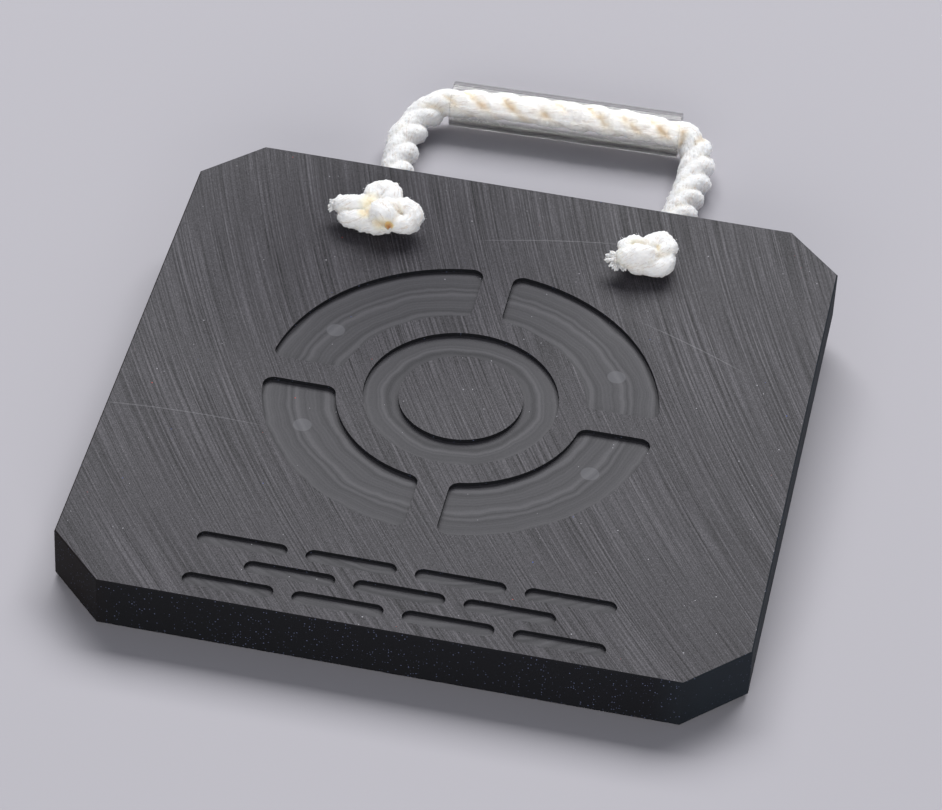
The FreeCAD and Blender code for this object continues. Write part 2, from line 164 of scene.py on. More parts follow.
def planed_polyethylene():
    """Solid black polyethylene: planed faces catch the light grey in fine streaks along the planer's arcs,
    milled floors show the cutter's rings, and sawn edges stay near black with a fine grain."""
    material = bpy.data.materials.new("planed_black_polyethylene")
    material.use_nodes = True
    tree = material.node_tree
    shader = tree.nodes["Principled BSDF"]
    # millimetres on the plate itself, from the middle of its underside, with its lean undone
    where = add(tree, "ShaderNodeTexCoord")
    on_plate = add(tree, "ShaderNodeMapping", {
        "Vector": where.outputs["Object"], "Location": (0.0, -1.0415, -7.6978),
        "Rotation": (-math.radians(LEAN), 0.0, 0.0), "Scale": (1000.0, 1000.0, 1000.0)})
    split = add(tree, "ShaderNodeSeparateXYZ", {0: on_plate})
    x, y, z = split.outputs
    # the planer's marks are arcs of 880 mm radius, with their centres on a line 409 mm behind the middle
    behind = calc(tree, "SUBTRACT", 409.0, y)
    squared = calc(tree, "MULTIPLY", behind, behind)
    left_over = calc(tree, "SUBTRACT", 880.0 ** 2, squared)
    reach = calc(tree, "SQRT", left_over)
    across = calc(tree, "ADD", x, reach)
    # each mark is up to 1 mm wide and some 100 mm long; they crowd together in places
    along = calc(tree, "MULTIPLY", y, 0.01)
    arcs = add(tree, "ShaderNodeCombineXYZ", {0: across, 1: along, 2: 0.0})
    fine = add(tree, "ShaderNodeTexNoise", {"Vector": arcs, "Scale": 1.0, "Detail": 3.0, "Roughness": 0.7},
        noise_dimensions="2D")
    crowded = add(tree, "ShaderNodeTexNoise", {"Vector": arcs, "Scale": 0.07, "Detail": 2.0, "W": 3.0},
        noise_dimensions="4D")
    grain = add(tree, "ShaderNodeTexNoise", {"Vector": on_plate, "Scale": 2.3, "Detail": 3.0,
        "Roughness": 0.75})
    strength = ranged(tree, crowded, 0.4, 0.6, 0.45, 0.74)
    swing = calc(tree, "SUBTRACT", fine, 0.5)
    streaks = calc(tree, "MULTIPLY_ADD", swing, strength, 0.5)
    speckled = calc(tree, "SUBTRACT", grain, 0.5)
    streaks = calc(tree, "MULTIPLY_ADD", speckled, 0.82, streaks)
    planed = ramp(tree, streaks, (0.33, "#101013"), (0.46, "#2f2e32"), (0.56, "#36343a"), (0.67, "#4d4b51"))
    # the cutter's path in the milled floors: soft rings some 3 mm apart, and a paler disc 8 mm across in each
    # sector, where it went in
    flat = add(tree, "ShaderNodeVectorMath", {0: on_plate, 1: (1.0, 1.0, 0.0)}, operation="MULTIPLY")
    wander = add(tree, "ShaderNodeTexNoise", {"Vector": on_plate, "Scale": 0.06, "Detail": 2.0})
    radius = add(tree, "ShaderNodeVectorMath", {0: flat}, operation="LENGTH")
    radius = calc(tree, "MULTIPLY_ADD", wander, 5.0, radius.outputs["Value"])
    ring_at = add(tree, "ShaderNodeCombineXYZ", {0: radius, 1: 0.0, 2: 0.0})
    rings = add(tree, "ShaderNodeTexNoise", {"Vector": ring_at, "Scale": 0.3, "Detail": 3.0,
        "Roughness": 0.55})
    rings = calc(tree, "MULTIPLY", rings, 0.7)
    rings = calc(tree, "MULTIPLY_ADD", grain, 0.3, rings)
    milled = ramp(tree, rings, (0.34, "#27272a"), (0.64, "#434247"))
    quarter = add(tree, "ShaderNodeVectorMath", {0: flat}, operation="ABSOLUTE")
    from_start = add(tree, "ShaderNodeVectorMath", {0: quarter, 1: (65.0, 33.0, 0.0)}, operation="DISTANCE")
    start = ranged(tree, from_start.outputs["Value"], 3.9, 4.4, 0.7, 0.0)
    milled = add(tree, "ShaderNodeMix", {0: start, 6: milled, 7: linear("#55555a")},
        data_type="RGBA").outputs[2]
    # the sawn sides: near black, with painted light and shade: browner at the far left and lighter and bluer
    # at the far right, for how the light falls on the two cut corners, and bright points about 1 mm apart
    # where the saw tore the plastic, painted in as glints
    # painted light and shade: the colour at each end of the sides stands for how the light falls on the cut
    # corners
    painted_side_light = ranged(tree, x, -135.0, 135.0)
    sawn = ramp(tree, painted_side_light, (0.0, "#090302"), (0.06, "#040508"), (0.92, "#06070c"), (1.0, "#171e25"))
    # painted glints: bright points in the sawn sides' colour
    glint_cells = add(tree, "ShaderNodeTexVoronoi", {"Vector": on_plate, "Scale": 0.9}, voronoi_dimensions="3D")
    glint_chance = add(tree, "ShaderNodeSeparateColor", {0: glint_cells.outputs["Color"]})
    glint_size = ranged(tree, glint_chance.outputs[0], 0.3, 1.0, 0.0, 0.26)
    glint = calc(tree, "LESS_THAN", glint_cells.outputs["Distance"], glint_size)
    bright = calc(tree, "POWER", glint_chance.outputs[1], 2.0)
    glint = calc(tree, "MULTIPLY", glint, bright)
    uneven = ranged(tree, grain, 0.35, 0.65, 0.0, 0.3)
    sawn = add(tree, "ShaderNodeMix", {0: uneven, 6: sawn, 7: linear("#101219")}, data_type="RGBA").outputs[2]
    sawn = add(tree, "ShaderNodeMix", {0: glint, 6: sawn, 7: linear("#5c6480")}, data_type="RGBA").outputs[2]
    surface = add(tree, "ShaderNodeNewGeometry")
    facing = add(tree, "ShaderNodeSeparateXYZ", {0: surface.outputs["Normal"]})
    face_up = calc(tree, "GREATER_THAN", facing.outputs[2], 0.9)
    lowered = calc(tree, "LESS_THAN", z, 25.0)
    face = add(tree, "ShaderNodeMix", {0: lowered, 6: planed, 7: milled}, data_type="RGBA")
    body = add(tree, "ShaderNodeMix", {0: face_up, 6: sawn, 7: face.outputs[2]}, data_type="RGBA")
    # dust and shavings: one to a 4 mm cell at most, mostly white, a few red or blue
    cells = add(tree, "ShaderNodeTexVoronoi", {"Vector": on_plate, "Scale": 0.25}, voronoi_dimensions="3D")
    chance = add(tree, "ShaderNodeSeparateColor", {0: cells.outputs["Color"]})
    size = ranged(tree, chance.outputs[0], 0.55, 1.0, 0.0, 0.085)
    speck = calc(tree, "LESS_THAN", cells.outputs["Distance"], size)
    speck = calc(tree, "MULTIPLY", speck, face_up)
    dust = ramp(tree, chance.outputs[1], (0.0, "#96959b"), (0.84, "#a03a30"), (0.93, "#2d4fa0"))
    dust.color_ramp.interpolation = "CONSTANT"
    body = add(tree, "ShaderNodeMix", {0: speck, 6: body.outputs[2], 7: dust}, data_type="RGBA")
    # three long faint scratches: the middle of each, its direction in degrees and its reach to either side
    scratches = (((-121.0, -39.5), 2.0, 46.0), ((96.0, 60.0), -24.0, 30.0), ((20.0, 118.0), 12.0, 38.0))
    for (middle_x, middle_y), angle, reach_mm in scratches:
        moved = add(tree, "ShaderNodeVectorMath", {0: flat, 1: (middle_x, middle_y, 0.0)},
            operation="SUBTRACT")
        turned = add(tree, "ShaderNodeVectorRotate", {"Vector": moved, "Angle": -math.radians(angle)},
            rotation_type="Z_AXIS")
        place = add(tree, "ShaderNodeSeparateXYZ", {0: turned})
        bend = calc(tree, "MULTIPLY", place.outputs[0], place.outputs[0])
        off = calc(tree, "MULTIPLY_ADD", bend, 0.0012, place.outputs[1])
        off = calc(tree, "ABSOLUTE", off)
        thin = ranged(tree, off, 0.1, 0.45, 0.26, 0.0)
        along_it = calc(tree, "ABSOLUTE", place.outputs[0])
        fade = ranged(tree, along_it, reach_mm * 0.5, reach_mm, 1.0, 0.0)
        scratch = calc(tree, "MULTIPLY", thin, fade)
        scratch = calc(tree, "MULTIPLY", scratch, face_up)
        body = add(tree, "ShaderNodeMix", {0: scratch, 6: body.outputs[2], 7: linear("#86858a")},
            data_type="RGBA")
    tree.links.new(body.outputs[2], shader.inputs["Base Color"])
    relief = add(tree, "ShaderNodeMix", {0: lowered, 2: streaks, 3: rings}, data_type="FLOAT")
    relief = add(tree, "ShaderNodeMix", {0: face_up, 2: grain, 3: relief.outputs[0]}, data_type="FLOAT")
    dull = ranged(tree, relief.outputs[0], 0.3, 0.7, 0.72, 0.5)
    # the rear left of the face is worn a little duller than the rest
    from_worn = add(tree, "ShaderNodeVectorMath", {0: flat, 1: (-60.0, 94.0, 0.0)}, operation="DISTANCE")
    worn = ranged(tree, from_worn.outputs["Value"], 0.0, 115.0, 0.18, 0.0)
    dull = calc(tree, "ADD", dull, worn, use_clamp=True)
    dull = add(tree, "ShaderNodeMix", {0: face_up, 2: 0.85, 3: dull}, data_type="FLOAT")
    tree.links.new(dull.outputs[0], shader.inputs["Roughness"])
    bump = add(tree, "ShaderNodeBump", {"Height": relief.outputs[0], "Strength": 0.5, "Distance": 0.0001})
    tree.links.new(bump.outputs[0], shader.inputs["Normal"])
    shader.inputs["Specular IOR Level"].default_value = 0.24
    return material


plate.material_slots[0].material = planed_polyethylene()

# The rope handle: one length of soft white three-strand rope, laid right-handed. It leaves both holes under
# the pad, lies on the floor in a loop and passes through the clear sleeve. Handling has loosened its legs.
ROUTE = [
    (-0.0635, 0.1148, 0.0215), (-0.0635, 0.11579, 0.007), (-0.0682, 0.16079, 0.007),
    (-0.0745, 0.21079, 0.007), (-0.0730, 0.23139, 0.0074), (-0.0672, 0.24349, 0.0098),
    (-0.0588, 0.25319, 0.0126), (0.0600, 0.25709, 0.0128), (0.0676, 0.24849, 0.0098),
    (0.0698, 0.23589, 0.0074), (0.0690, 0.21629, 0.007), (0.0650, 0.16779, 0.007),
    (0.0635, 0.11579, 0.007), (0.0635, 0.1148, 0.0215)]
# the clear sleeve that holds the rope in the middle: the middle of its axis, and its turn in degrees
SLEEVE_MIDDLE = Vector((0.0016, 0.25419, 0.0111))
SLEEVE_TURN = 1.8
# where along the rope, in millimetres, its strands come round to the same side, one after another
ROUND_AT = [(101.6, 0), (119.3, 1), (136.4, 2), (164.5, 4), (254.8, 10), (276.9, 11.5), (288.1, 12.5),
            (301.3, 13.5), (314.9, 14.5)]
# beyond both ends of that, another strand comes round every 15 mm and every 13 mm
ROUND_AT = [(101.6 - 15.0 * n, -n) for n in range(7, 0, -1)] + ROUND_AT
ROUND_AT += [(314.9 + 13.0 * n, 14.5 + n) for n in range(1, 9)]


def line_of(points, steps):
    """The points of the smooth NURBS line that has these control points."""
    curve = bpy.data.curves.new("line", "CURVE")
    curve.dimensions = "3D"
    spline = curve.splines.new("NURBS")
    spline.points.add(len(points) - 1)
    for place, point in zip(spline.points, points):
        place.co = (*point, 1.0)
    spline.order_u = 3
    spline.use_endpoint_u = True
    spline.resolution_u = steps
    holder = placed("line", curve)
    mesh = bpy.data.meshes.new_from_object(holder.evaluated_get(bpy.context.evaluated_depsgraph_get()))
    found = np.array([v.co for v in mesh.vertices], float)
    bpy.data.objects.remove(holder)
    bpy.data.curves.remove(curve)
    bpy.data.meshes.remove(mesh)
    return found


def strand_tree():
    """A strand of yarns along each line that it is given: the yarns wind round it and stand out as ridges."""
    tree = bpy.data.node_groups.new("twisted_strand", "GeometryNodeTree")
    face = tree.interface
    face.new_socket("Lines", in_out="INPUT", socket_type="NodeSocketGeometry")
    for name, kind, value in (("Yarns", "NodeSocketInt", 12), ("Yarn height", "NodeSocketFloat", 0.1),
                              ("Yarn lay", "NodeSocketFloat", 0.038), ("Step", "NodeSocketFloat", 0.001)):
        face.new_socket(name, in_out="INPUT", socket_type=kind).default_value = value
    face.new_socket("Finish", in_out="INPUT", socket_type="NodeSocketMaterial")
    face.new_socket("Strands", in_out="OUTPUT", socket_type="NodeSocketGeometry")
    given = add(tree, "NodeGroupInput").outputs
    lines = add(tree, "GeometryNodeMeshToCurve", {0: given["Lines"]})
    lines = add(tree, "GeometryNodeResampleCurve", {"Curve": lines, "Length": given["Step"]}, mode="LENGTH")
    lines = add(tree, "GeometryNodeSetCurveNormal", {"Curve": lines})
    so_far = add(tree, "GeometryNodeSplineParameter").outputs["Length"]
    turns = calc(tree, "DIVIDE", so_far, given["Yarn lay"])
    angle = calc(tree, "MULTIPLY", turns, -2 * math.pi)
    lines = add(tree, "GeometryNodeSetCurveTilt", {"Curve": lines, "Tilt": angle})
    thick = add(tree, "GeometryNodeInputNamedAttribute", {"Name": "thick"}, data_type="FLOAT")
    number = add(tree, "GeometryNodeInputNamedAttribute", {"Name": "strand"}, data_type="INT")
    apart = calc(tree, "MULTIPLY", number, 211.0)
    millimetres = calc(tree, "MULTIPLY_ADD", so_far, 1000.0, apart)
    lines = add(tree, "GeometryNodeStoreNamedAttribute", {"Geometry": lines, "Name": "along",
        "Value": millimetres}, data_type="FLOAT", domain="POINT")
    # four points to a yarn: its ridge, two slopes and the valley beside it
    sides = calc(tree, "MULTIPLY", given["Yarns"], 4.0)
    ring = add(tree, "GeometryNodeCurvePrimitiveCircle", {"Resolution": sides, "Radius": 1.0})
    turn = calc(tree, "MULTIPLY", add(tree, "GeometryNodeInputIndex"), math.pi / 4)
    wave = calc(tree, "COSINE", turn)
    ridge = calc(tree, "ABSOLUTE", wave)
    valley = calc(tree, "SUBTRACT", 1.0, ridge)
    cut = calc(tree, "MULTIPLY", valley, given["Yarn height"])
    keep = calc(tree, "SUBTRACT", 1.0, cut)
    at = add(tree, "GeometryNodeInputPosition")
    drawn_in = add(tree, "ShaderNodeVectorMath", {0: at, "Scale": keep}, operation="SCALE")
    ring = add(tree, "GeometryNodeStoreNamedAttribute", {"Geometry": ring.outputs["Curve"],
        "Name": "ring_place", "Value": at}, data_type="FLOAT_VECTOR", domain="POINT")
    ring = add(tree, "GeometryNodeSetPosition", {"Geometry": ring, "Position": drawn_in})
    tube = add(tree, "GeometryNodeCurveToMesh", {"Curve": lines, "Profile Curve": ring,
        "Scale": thick.outputs[0], "Fill Caps": True})
    tube = add(tree, "GeometryNodeSetShadeSmooth", {"Geometry": tube})
    tube = add(tree, "GeometryNodeRealizeInstances", {"Geometry": tube})
    tube = add(tree, "GeometryNodeSetMaterial", {"Geometry": tube, "Material": given["Finish"]})
    add(tree, "NodeGroupOutput", {0: tube})
    return tree


def fluff_tree():
    """Spun yarn worked loose: the surface swells and sinks in soft tufts, one to four millimetres across."""
    tree = bpy.data.node_groups.new("soft_fluff", "GeometryNodeTree")
    face = tree.interface
    face.new_socket("Skin", in_out="INPUT", socket_type="NodeSocketGeometry")
    for name, value in (("Tufts", 0.001), ("Lumps", 0.001), ("Seed", 0.0)):
        face.new_socket(name, in_out="INPUT", socket_type="NodeSocketFloat").default_value = value
    face.new_socket("Finish", in_out="INPUT", socket_type="NodeSocketMaterial")
    face.new_socket("Fluffed", in_out="OUTPUT", socket_type="NodeSocketGeometry")
    given = add(tree, "NodeGroupInput").outputs
    tufts = add(tree, "ShaderNodeTexNoise", {"Scale": 620.0, "Detail": 1.0, "W": given["Seed"]},
        noise_dimensions="4D")
    lumps = add(tree, "ShaderNodeTexNoise", {"Scale": 230.0, "Detail": 1.0, "W": given["Seed"]},
        noise_dimensions="4D")
    swing = calc(tree, "SUBTRACT", tufts, 0.5)
    heave = calc(tree, "SUBTRACT", lumps, 0.5)
    height = calc(tree, "MULTIPLY", heave, given["Lumps"])
    height = calc(tree, "MULTIPLY_ADD", swing, given["Tufts"], height)
    lift = add(tree, "ShaderNodeVectorMath", {0: add(tree, "GeometryNodeInputNormal"), "Scale": height},
        operation="SCALE")
    skin = add(tree, "GeometryNodeSetPosition", {"Geometry": given["Skin"], "Offset": lift})
    skin = add(tree, "GeometryNodeSetShadeSmooth", {"Geometry": skin})
    skin = add(tree, "GeometryNodeRealizeInstances", {"Geometry": skin})
    skin = add(tree, "GeometryNodeSetMaterial", {"Geometry": skin, "Material": given["Finish"]})
    add(tree, "NodeGroupOutput", {0: skin})
    return tree


def white_laid_yarn(name, scatter):
    """Soft spun white yarn: bright and matt with a faint sheen, cream to golden in the creases, partly dirt
    and partly painted shade, pinkish grey in the gaps between its fibre bundles as painted shade, and
    scorched brown where an end was melted."""
    material = bpy.data.materials.new(name)
    material.use_nodes = True
    tree = material.node_tree
    shader = tree.nodes["Principled BSDF"]
    where = add(tree, "ShaderNodeTexCoord")
    blotch = add(tree, "ShaderNodeTexNoise", {"Vector": where.outputs["Object"], "Scale": 110.0,
        "Detail": 3.0})
    # bundles of fibres about 1 mm wide run along the strands, drawn out long
    ring_place = add(tree, "ShaderNodeAttribute", attribute_name="ring_place")
    along = add(tree, "ShaderNodeAttribute", attribute_name="along")
    around = add(tree, "ShaderNodeVectorMath", {0: ring_place.outputs["Vector"], "Scale": 2.3},
        operation="SCALE")
    onwards = calc(tree, "MULTIPLY", along.outputs[2], 0.06)
    onwards = add(tree, "ShaderNodeCombineXYZ", {2: onwards})
    on_yarn = add(tree, "ShaderNodeVectorMath", {0: around, 1: onwards}, operation="ADD")
    fibre = add(tree, "ShaderNodeTexNoise", {"Vector": on_yarn, "Scale": 2.2, "Detail": 3.0,
        "Roughness": 0.65})
    crease = add(tree, "ShaderNodeAttribute", attribute_name="crease")
    scorch = add(tree, "ShaderNodeAttribute", attribute_name="scorch")
    patchy = ranged(tree, blotch.outputs[0], 0.38, 0.64, 0.0, 0.9)
    crease_stain_and_shade = calc(tree, "MULTIPLY", crease.outputs["Fac"], patchy)
    # the crease tint is strongest on the upper side of the stretch inside the sleeve, which has been handled
    # most; elsewhere, and lower down in the sleeve, it is weaker painted shade in the creases
    place = add(tree, "ShaderNodeSeparateXYZ", {0: where.outputs["Object"]})
    crease_tint_weight = ranged(tree, place.outputs[1], 0.238, 0.25, 0.35, 1.0)
    low = ranged(tree, place.outputs[2], 0.011, 0.0145, 0.5, 1.0)
    crease_tint_weight = calc(tree, "MULTIPLY", crease_tint_weight, low)
    crease_stain_and_shade = calc(tree, "MULTIPLY", crease_stain_and_shade, crease_tint_weight, use_clamp=True)
    # painted shade and dirt: the creases tinted golden
    tone = add(tree, "ShaderNodeMix", {0: crease_stain_and_shade, 6: linear("#fffdfa"), 7: linear("#d3bc93")},
        data_type="RGBA")
    # painted shade: the gaps between the fibre bundles are painted pinkish grey
    fibre_gap_shade = ranged(tree, fibre, 0.36, 0.46, 0.55, 0.0)
    tone = add(tree, "ShaderNodeMix", {0: fibre_gap_shade, 6: tone.outputs[2], 7: linear("#c8bab0")}, data_type="RGBA")
    burn = ramp(tree, scorch.outputs[2], (0.0, "#f3e7bd"), (0.6, "#e3b873"), (1.0, "#a35a1c"))
    burnt = calc(tree, "MULTIPLY", scorch.outputs[2], 2.6, use_clamp=True)
    tone = add(tree, "ShaderNodeMix", {0: burnt, 6: tone.outputs[2], 7: burn}, data_type="RGBA")
    tree.links.new(tone.outputs[2], shader.inputs["Base Color"])
    shader.inputs["Roughness"].default_value = 0.72
    shader.inputs["Subsurface Weight"].default_value = 1.0
    shader.inputs["Subsurface Radius"].default_value = (1.0, 0.95, 0.9)
    shader.inputs["Subsurface Scale"].default_value = scatter
    shader.inputs["Sheen Weight"].default_value = 0.6
    shader.inputs["Sheen Roughness"].default_value = 0.5
    tufts = add(tree, "ShaderNodeTexNoise", {"Vector": where.outputs["Object"], "Scale": 1100.0,
        "Detail": 2.0})
    relief = calc(tree, "MULTIPLY_ADD", tufts, 0.35, fibre)
    bump = add(tree, "ShaderNodeBump", {"Height": relief, "Strength": 0.45, "Distance": 0.001})
    tree.links.new(bump.outputs[0], shader.inputs["Normal"])
    return material


yarn = white_laid_yarn("white_spun_polyester_yarn", 0.009)
strand_maker = strand_tree()
fluff_maker = fluff_tree()


def plain_mesh(name, mesh, stack):
    """The mesh that an object with this stack of modifiers comes to: each a kind, its tree and its inputs."""
    maker = placed(name, mesh)
    for kind, tree, inputs in stack:
        modifier = maker.modifiers.new(kind, kind)
        if tree is None:
            for key, value in inputs.items():
                setattr(modifier, key, value)
            continue
        modifier.node_group = tree
        sockets = {s.name: s.identifier for s in tree.interface.items_tree if s.in_out == "INPUT"}
        for key, value in inputs.items():
            modifier[sockets[key]] = value
    bpy.context.view_layer.update()
    made = bpy.data.meshes.new_from_object(maker.evaluated_get(bpy.context.evaluated_depsgraph_get()))
    bpy.data.objects.remove(maker)
    made.name = name
    return made


def places_of(mesh):
    """The places of a mesh's points, one to a row."""
    found = np.zeros(len(mesh.vertices) * 3, np.float32)
    mesh.vertices.foreach_get("co", found)
    return found.reshape(-1, 3)


def tree_of(points):
    """These points, ready to be searched for the nearest one."""
    tree = KDTree(len(points))
    for i, point in enumerate(points):
        tree.insert(point, i)
    tree.balance()
    return tree


def keep_value(mesh, name, kind, values):
    """A named value kept at each point of a mesh."""
    field = "vector" if kind == "FLOAT_VECTOR" else "value"
    mesh.attributes.new(name, kind, "POINT").data.foreach_set(field, values)


def as_edges(name, lines):
    """Lines of (places, thicknesses) as one mesh of loose edges, with their thickness and number kept."""
    mesh = bpy.data.meshes.new(name + "_lines")
    edges, first = [], 0
    for line, _ in lines:
        edges += [(first + i, first + i + 1) for i in range(len(line) - 1)]
        first += len(line)
    mesh.from_pydata([tuple(p) for line, _ in lines for p in line], edges, [])
    counts = [len(line) for line, _ in lines]
    keep_value(mesh, "thick", "FLOAT", np.concatenate([np.asarray(t, np.float32) for _, t in lines]))
    keep_value(mesh, "strand", "INT", np.repeat(np.arange(len(lines), dtype=np.int32), counts))
    return mesh


# metres: a crease shows where the next strand is less than this much farther off than the nearest
CREASE = 0.004


def strands(name, lines, twist, fluff):
    """Lines of (places, thicknesses) made into one piece of soft twisted strands, pressed together."""
    mesh = as_edges(name, lines)
    tubes = plain_mesh(name + "_tubes", mesh, [("NODES", strand_maker, {**twist, "Finish": yarn})])
    # the strands' yarn coordinates, for the skin that is drawn over them
    tube_places = places_of(tubes)
    tube_along = np.zeros(len(tube_places), np.float32)
    tubes.attributes["along"].data.foreach_get("value", tube_along)
    tube_ring = np.zeros(len(tube_places) * 3, np.float32)
    tubes.attributes["ring_place"].data.foreach_get("vector", tube_ring)
    tube_tree = tree_of(tube_places)
    made = plain_mesh(name, tubes, [
        ("REMESH", None, {"mode": "VOXEL", "voxel_size": 0.00058, "use_smooth_shade": True}),
        ("NODES", fluff_maker, {**fluff, "Finish": yarn})])
    pressed(made)
    places = places_of(made)
    nearest = np.array([tube_tree.find(p)[1] for p in places])
    # how far each point stands off each strand's skin
    depths = []
    for line, thickness in lines:
        found = tree_of(line)
        hits = [found.find(p) for p in places]
        depths.append(np.array([h[2] for h in hits]) - np.asarray(thickness)[[h[1] for h in hits]])
    depths = np.sort(np.array(depths), axis=0)
    crease = np.clip(1 - (depths[1] - depths[0]) / CREASE, 0, 1) ** 1.3
    keep_value(made, "along", "FLOAT", tube_along[nearest])
    keep_value(made, "ring_place", "FLOAT_VECTOR", tube_ring.reshape(-1, 3)[nearest].ravel())
    keep_value(made, "crease", "FLOAT", crease.astype(np.float32))
    keep_value(made, "scorch", "FLOAT", np.zeros(len(places), np.float32))
    return placed(name, made)


# millimetres: the rope holes' axes, to the left and right of the middle, behind the middle, and behind the
# pad's lowest front edge
HOLES = (-63.5, 63.5)
HOLE_BACK = 114.3
HOLE_ACROSS = 266.1
# the rope fills a hole out to HOLE_ROOM, and is kept out of the pad past HOLE_WALL
HOLE_ROOM = 7.7
HOLE_WALL = 7.9
# the room for the rope in the sleeve's bore, and half the sleeve's length
BORE_ROOM = 9.3
HALF_SLEEVE = 57.2


def pressed(mesh):
    """The soft rope gives way to what holds it: the floor, the pad, the walls of its holes and the sleeve."""
    x, y, z = places_of(mesh).T * 1000.0
    z = np.maximum(z, 0.1)
    c, s = math.cos(math.radians(LEAN)), math.sin(math.radians(LEAN))
    shift = (PAD_REACH * c - PAD_THICK * s) / 2
    across = (y + shift) * c + z * s
    up = -(y + shift) * s + z * c
    hole = np.where(x < 0, HOLES[0], HOLES[1])
    dx, dy = x - hole, across - HOLE_ACROSS
    from_axis = np.hypot(dx, dy)
    # in a hole, between its mouths, the rope keeps to the hole's room
    inside = (up > 0) & (up < PAD_THICK) & (across < PAD_REAR)
    in_wall = inside & (from_axis > HOLE_ROOM) & (from_axis < 11) & (up > 2.5) & (up < 23)
    pull = np.where(in_wall, HOLE_ROOM / np.maximum(from_axis, 1), 1.0)
    across = HOLE_ACROSS + dy * pull
    x = hole + dx * pull
    # elsewhere what would be inside the pad lies just under it or on it
    inside &= (from_axis > HOLE_WALL) & ~in_wall
    up = np.where(inside & (up < PAD_THICK / 2), -0.05, np.where(inside, PAD_THICK + 0.05, up))
    y, z = across * c - up * s - shift, across * s + up * c
    z = np.maximum(z, 0.1)
    # in the sleeve it keeps to the bore, and the bore's end lets it out gently
    turn = math.radians(SLEEVE_TURN)
    middle_x, middle_y, middle_z = (1000 * v for v in SLEEVE_MIDDLE)
    on = (x - middle_x) * math.cos(turn) + (y - middle_y) * math.sin(turn)
    off = -(x - middle_x) * math.sin(turn) + (y - middle_y) * math.cos(turn)
    rise = z - middle_z
    away = np.hypot(off, rise)
    room = BORE_ROOM + np.clip(abs(on) - HALF_SLEEVE, 0, 1) * 4
    pull = np.where((abs(on) < 59) & (away > room) & (away < 14), room / np.maximum(away, 1), 1.0)
    off, rise = off * pull, rise * pull
    x = middle_x + on * math.cos(turn) - off * math.sin(turn)
    y = middle_y + on * math.sin(turn) + off * math.cos(turn)
    z = middle_z + rise
    mesh.vertices.foreach_set("co", (np.stack([x, y, z], axis=1) / 1000.0).astype(np.float32).ravel())


heart = line_of(ROUTE, 100)
steps = np.linalg.norm(np.diff(heart, axis=0), axis=1)
keep = np.concatenate([[True], steps > 1e-7])
heart = heart[keep]
gone = np.concatenate([[0.0], np.cumsum(np.linalg.norm(np.diff(heart, axis=0), axis=1))])
rope_length = float(gone[-1])
heading = np.gradient(heart, gone, axis=0)
heading /= np.linalg.norm(heading, axis=1)[:, None]
# an upright direction carried along the rope both ways from the middle of the sleeve, so that it never twists
middle = int(np.argmin(abs(gone - rope_length / 2)))
upright = np.zeros_like(heart)
upright[middle] = (0.0, 0.0, 1.0)
for order in (range(middle + 1, len(heart)), range(middle - 1, -1, -1)):
    last = middle
    for i in order:
        carried = upright[last] - heading[i] * (upright[last] @ heading[i])
        upright[i] = carried / np.linalg.norm(carried)
        last = i
sideways = np.cross(heading, upright)
# from 0 to 1: how far each place is in the sleeve, how far in a hole and how far on the free legs
in_sleeve = 1 / (1 + np.exp(-(0.064 - abs(heart[:, 0])) / 0.003)) * (heart[:, 1] > 0.245)
winding = np.radians(90 + 120 * np.interp(gone * 1000, *zip(*ROUND_AT)))
in_hole = 1 / (1 + np.exp((heart[:, 1] - 0.128) / 0.004))
on_legs = (1 - in_sleeve) * (1 - in_hole)
# metres: the strands lie 2.7 mm off the rope's middle, a little nearer on its legs and in the holes
offset = 0.0027 - 0.0001 * on_legs - 0.0003 * in_hole
chance = np.random.RandomState(5)
# the loosened side of each leg: inside the loop on the left, outside it on the right
loose_side = np.array([1.0, 0.0, 0.0])
# metres: every so far along it, a strand is a little thicker or thinner
UNEVEN_STEP = 0.006
rope_lines = []
for strand in range(3):
    stations = np.arange(0, rope_length + UNEVEN_STEP, UNEVEN_STEP)
    uneven = np.interp(gone, stations, chance.normal(0, 1, int(rope_length / UNEVEN_STEP) + 2))
    # 4.4 mm in radius, fatter on the loosened legs and thinner in the holes
    width = 0.0044 + 0.0006 * on_legs - 0.0008 * in_hole
    width = width * (1 + 0.06 * np.clip(uneven, -1.5, 1.5) * (1 - in_hole))
    turn = winding + strand * 2 * math.pi / 3
    out = np.cos(turn)[:, None] * upright + np.sin(turn)[:, None] * sideways
    bulge = np.clip(out @ loose_side, 0, 1) ** 2 * 0.0025 * on_legs
    path = heart + out * (offset + bulge)[:, None]
    path[:, 2] = np.maximum(path[:, 2], width + 0.0001)
    rope_lines.append((path, width))
rope = strands("white_rope", rope_lines, {"Yarns": 14, "Yarn height": 0.12, "Yarn lay": 0.04, "Step": 0.001},
               {"Tufts": 0.0018, "Lumps": 0.0018, "Seed": 1.0})
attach(rope, "root")
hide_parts("rope_handle")


# The stopper knots: the rope's three strands turned back over each other on the pad's face, so that they
# stand as fat rounded bights, and cut short. The left one has a melted brown tip, and both have frayed.
def on_pad(points, middle_x):
    """Places given in millimetres from a rope hole's axis and above the pad's face, in the row frame."""
    c, s = math.cos(math.radians(LEAN)), math.sin(math.radians(LEAN))
    shift = (PAD_REACH * c - PAD_THICK * s) / 2
    half = PAD_REACH / 2
    return [((middle_x + dx) / 1000, ((HOLE_BACK + dy) * c - (PAD_THICK + h) * s + half * c - shift) / 1000,
             ((HOLE_BACK + dy) * s + (PAD_THICK + h) * c + half * s) / 1000) for dx, dy, h in points]


